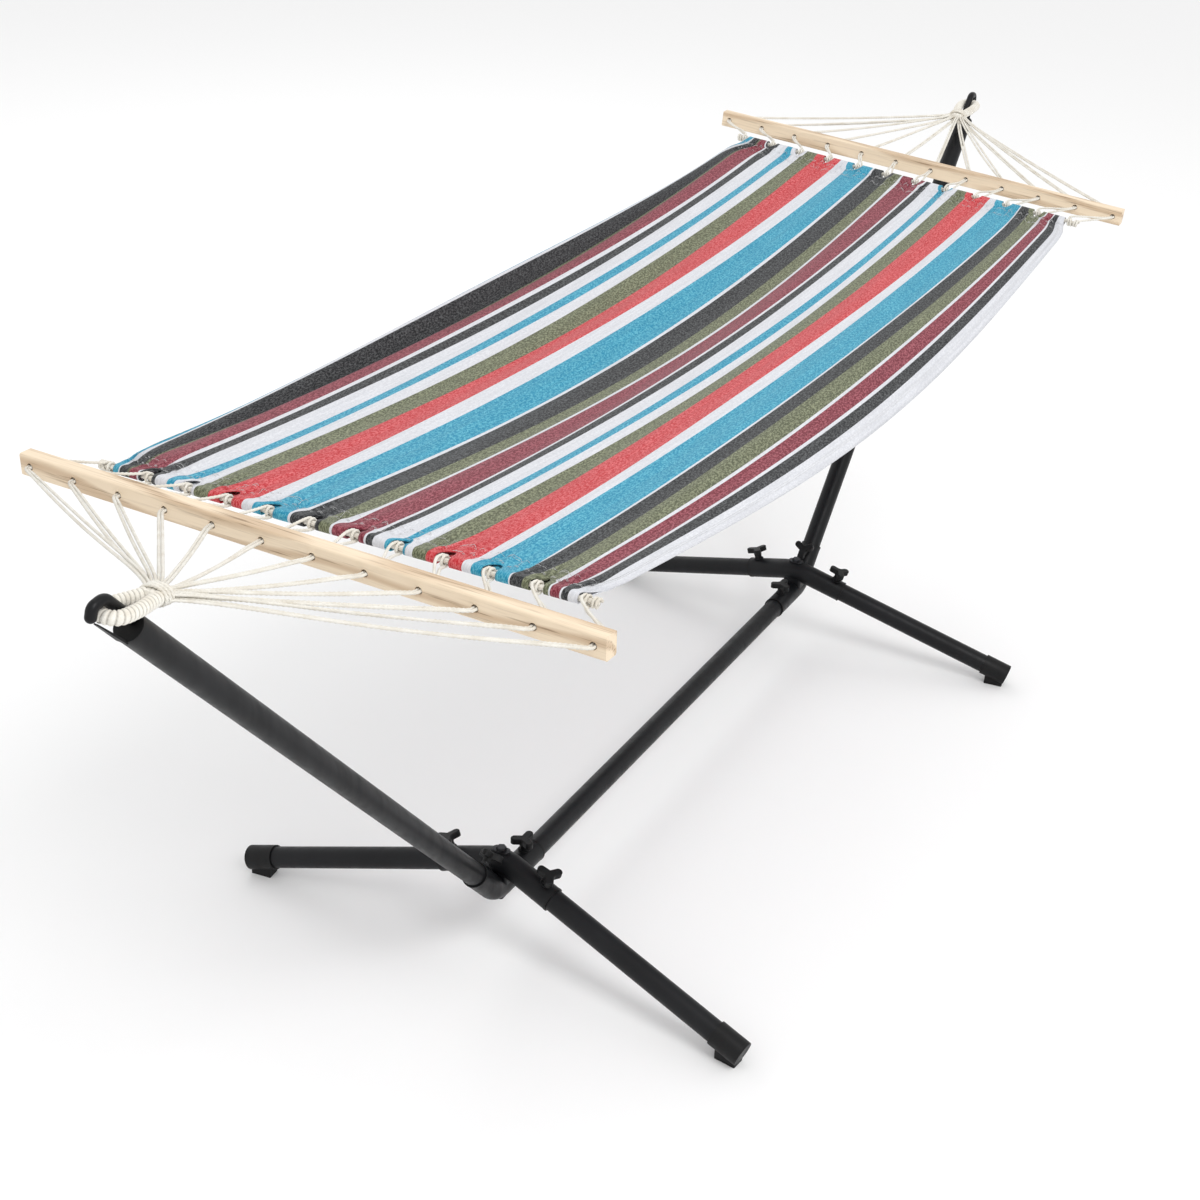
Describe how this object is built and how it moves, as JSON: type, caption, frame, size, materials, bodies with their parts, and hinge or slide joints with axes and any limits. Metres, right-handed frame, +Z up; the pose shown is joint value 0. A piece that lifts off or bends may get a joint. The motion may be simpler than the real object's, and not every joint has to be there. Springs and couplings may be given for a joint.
{
  "type": "hammock on stand",
  "caption": "Striped cloth hammock with wooden spreader bars, hung by rope eyes between two hooks of a take-apart tubular steel stand with splayed legs.",
  "frame": {"origin": "on the floor under the middle of the centre beam", "axes": "+X along the beam towards the far hook, +Y to the left flank, +Z up"},
  "size_m": [2.5426, 0.8454, 0.9106],
  "materials": {
    "powder_coated_steel": "satin black powder coat on round steel tube",
    "black_plastic": "black moulded plastic with a fine grain",
    "blackened_bolt": "black oxidised steel fastener",
    "zinc_thread": "zinc plated thread",
    "cotton_cord": "twisted natural cotton cord",
    "ash_wood": "sanded pale ash with open grain",
    "striped_cloth": "heavy woven cotton with dyed warp stripes"
  },
  "bodies": {
    "stand": {"centre_beam": "powder_coated_steel", "far_arm": "powder_coated_steel", "far_arm_connector": "powder_coated_steel", "far_clamp_nuts": "powder_coated_steel", "far_hook": "powder_coated_steel", "far_hook_plug": "black_plastic", "far_hub_bolt": "blackened_bolt", "far_hub_nut": "blackened_bolt", "far_leg_connector": "powder_coated_steel", "far_saddle": "powder_coated_steel", "far_sleeve_collars": "black_plastic", "near_arm": "powder_coated_steel", "near_arm_connector": "powder_coated_steel", "near_clamp_nuts": "powder_coated_steel", "near_hook": "powder_coated_steel", "near_hook_plug": "black_plastic", "near_hub_bolt": "blackened_bolt", "near_hub_nut": "blackened_bolt", "near_leg_connector": "powder_coated_steel", "near_saddle": "powder_coated_steel", "near_sleeve_collars": "black_plastic"},
    "hammock": {"cloth": "striped_cloth", "far_eye": "cotton_cord", "far_hem_rope": "cotton_cord", "far_spreader_bar": "ash_wood", "far_suspension_cords": "cotton_cord", "far_whipping": "cotton_cord", "near_eye": "cotton_cord", "near_hem_rope": "cotton_cord", "near_spreader_bar": "ash_wood", "near_suspension_cords": "cotton_cord", "near_whipping": "cotton_cord"},
    "near_beam_knob_turn": {"near_beam_knob": "black_plastic", "near_beam_stud": "zinc_thread"},
    "near_arm_knob_turn": {"near_arm_knob": "black_plastic", "near_arm_stud": "zinc_thread"},
    "near_left_leg_knob_turn": {"near_left_leg_knob": "black_plastic", "near_left_leg_stud": "zinc_thread"},
    "near_right_leg_knob_turn": {"near_right_leg_knob": "black_plastic", "near_right_leg_stud": "zinc_thread"},
    "near_left_leg_assembly": {"near_left_leg": "powder_coated_steel", "near_left_foot": "black_plastic"},
    "near_right_leg_assembly": {"near_right_leg": "powder_coated_steel", "near_right_foot": "black_plastic"},
    "far_beam_knob_turn": {"far_beam_knob": "black_plastic", "far_beam_stud": "zinc_thread"},
    "far_arm_knob_turn": {"far_arm_knob": "black_plastic", "far_arm_stud": "zinc_thread"},
    "far_left_leg_knob_turn": {"far_left_leg_knob": "black_plastic", "far_left_leg_stud": "zinc_thread"},
    "far_right_leg_knob_turn": {"far_right_leg_knob": "black_plastic", "far_right_leg_stud": "zinc_thread"},
    "far_left_leg_assembly": {"far_left_leg": "powder_coated_steel", "far_left_foot": "black_plastic"},
    "far_right_leg_assembly": {"far_right_leg": "powder_coated_steel", "far_right_foot": "black_plastic"}
  },
  "joints": [
    {"name": "near_beam_knob_spin", "type": "hinge", "parent": "stand", "child": "near_beam_knob_turn", "pos_m": [-0.468, 0, 0.1065], "axis": [0, 0, 1], "continuous": true},
    {"name": "near_arm_knob_spin", "type": "hinge", "parent": "stand", "child": "near_arm_knob_turn", "pos_m": [-0.59037, 0, 0.1526], "axis": [0.7488, 0, 0.6628], "continuous": true},
    {"name": "near_left_leg_knob_spin", "type": "hinge", "parent": "stand", "child": "near_left_leg_knob_turn", "pos_m": [-0.54037, 0.07492, 0.12593], "axis": [-0.0378, 0.2896, 0.9564], "continuous": true},
    {"name": "near_right_leg_knob_spin", "type": "hinge", "parent": "stand", "child": "near_right_leg_knob_turn", "pos_m": [-0.54037, -0.07492, 0.12593], "axis": [-0.0378, -0.2896, 0.9564], "continuous": true},
    {"name": "near_left_leg_pull", "type": "slide", "parent": "stand", "child": "near_left_leg_assembly", "axis": [-0.1237, 0.9484, -0.292], "range_m": [0, 0.06]},
    {"name": "near_right_leg_pull", "type": "slide", "parent": "stand", "child": "near_right_leg_assembly", "axis": [-0.1237, -0.9484, -0.292], "range_m": [0, 0.06]},
    {"name": "far_beam_knob_spin", "type": "hinge", "parent": "stand", "child": "far_beam_knob_turn", "pos_m": [0.468, 0, 0.1065], "axis": [0, 0, 1], "continuous": true},
    {"name": "far_arm_knob_spin", "type": "hinge", "parent": "stand", "child": "far_arm_knob_turn", "pos_m": [0.59037, 0, 0.1526], "axis": [-0.7488, 0, 0.6628], "continuous": true},
    {"name": "far_left_leg_knob_spin", "type": "hinge", "parent": "stand", "child": "far_left_leg_knob_turn", "pos_m": [0.54037, 0.07492, 0.12593], "axis": [0.0378, 0.2896, 0.9564], "continuous": true},
    {"name": "far_right_leg_knob_spin", "type": "hinge", "parent": "stand", "child": "far_right_leg_knob_turn", "pos_m": [0.54037, -0.07492, 0.12593], "axis": [0.0378, -0.2896, 0.9564], "continuous": true},
    {"name": "far_left_leg_pull", "type": "slide", "parent": "stand", "child": "far_left_leg_assembly", "axis": [0.1237, 0.9484, -0.292], "range_m": [0, 0.06]},
    {"name": "far_right_leg_pull", "type": "slide", "parent": "stand", "child": "far_right_leg_assembly", "axis": [0.1237, -0.9484, -0.292], "range_m": [0, 0.06]},
    {"name": "hammock_swing", "type": "hinge", "parent": "stand", "child": "hammock", "pos_m": [0, 0, 0.88527], "axis": [1, 0, 0], "range_deg": [-12, 12]}
  ]
}
